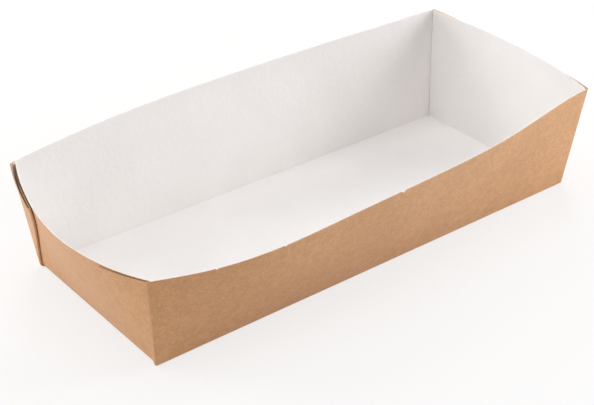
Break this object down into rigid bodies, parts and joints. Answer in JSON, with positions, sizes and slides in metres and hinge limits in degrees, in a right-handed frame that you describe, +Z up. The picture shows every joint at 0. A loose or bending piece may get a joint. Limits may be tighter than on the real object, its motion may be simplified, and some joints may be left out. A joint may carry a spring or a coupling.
{
  "type": "paper food tray",
  "caption": "Open oblong tray folded from board, brown outside and white inside, with leaning bowed walls and pleated corners folded flat against the end walls.",
  "frame": {"origin": "centre of the underside of the floor, which is also the centre of the outline seen from above", "axes": "+X along the tray, +Y across it, +Z up out of its mouth"},
  "size_m": [0.2272, 0.1108, 0.0495],
  "materials": {
    "kraft_board": "matt kraft outside, matt white coated inside"
  },
  "bodies": {
    "root": {"tray_board": "kraft_board"}
  },
  "joints": []
}
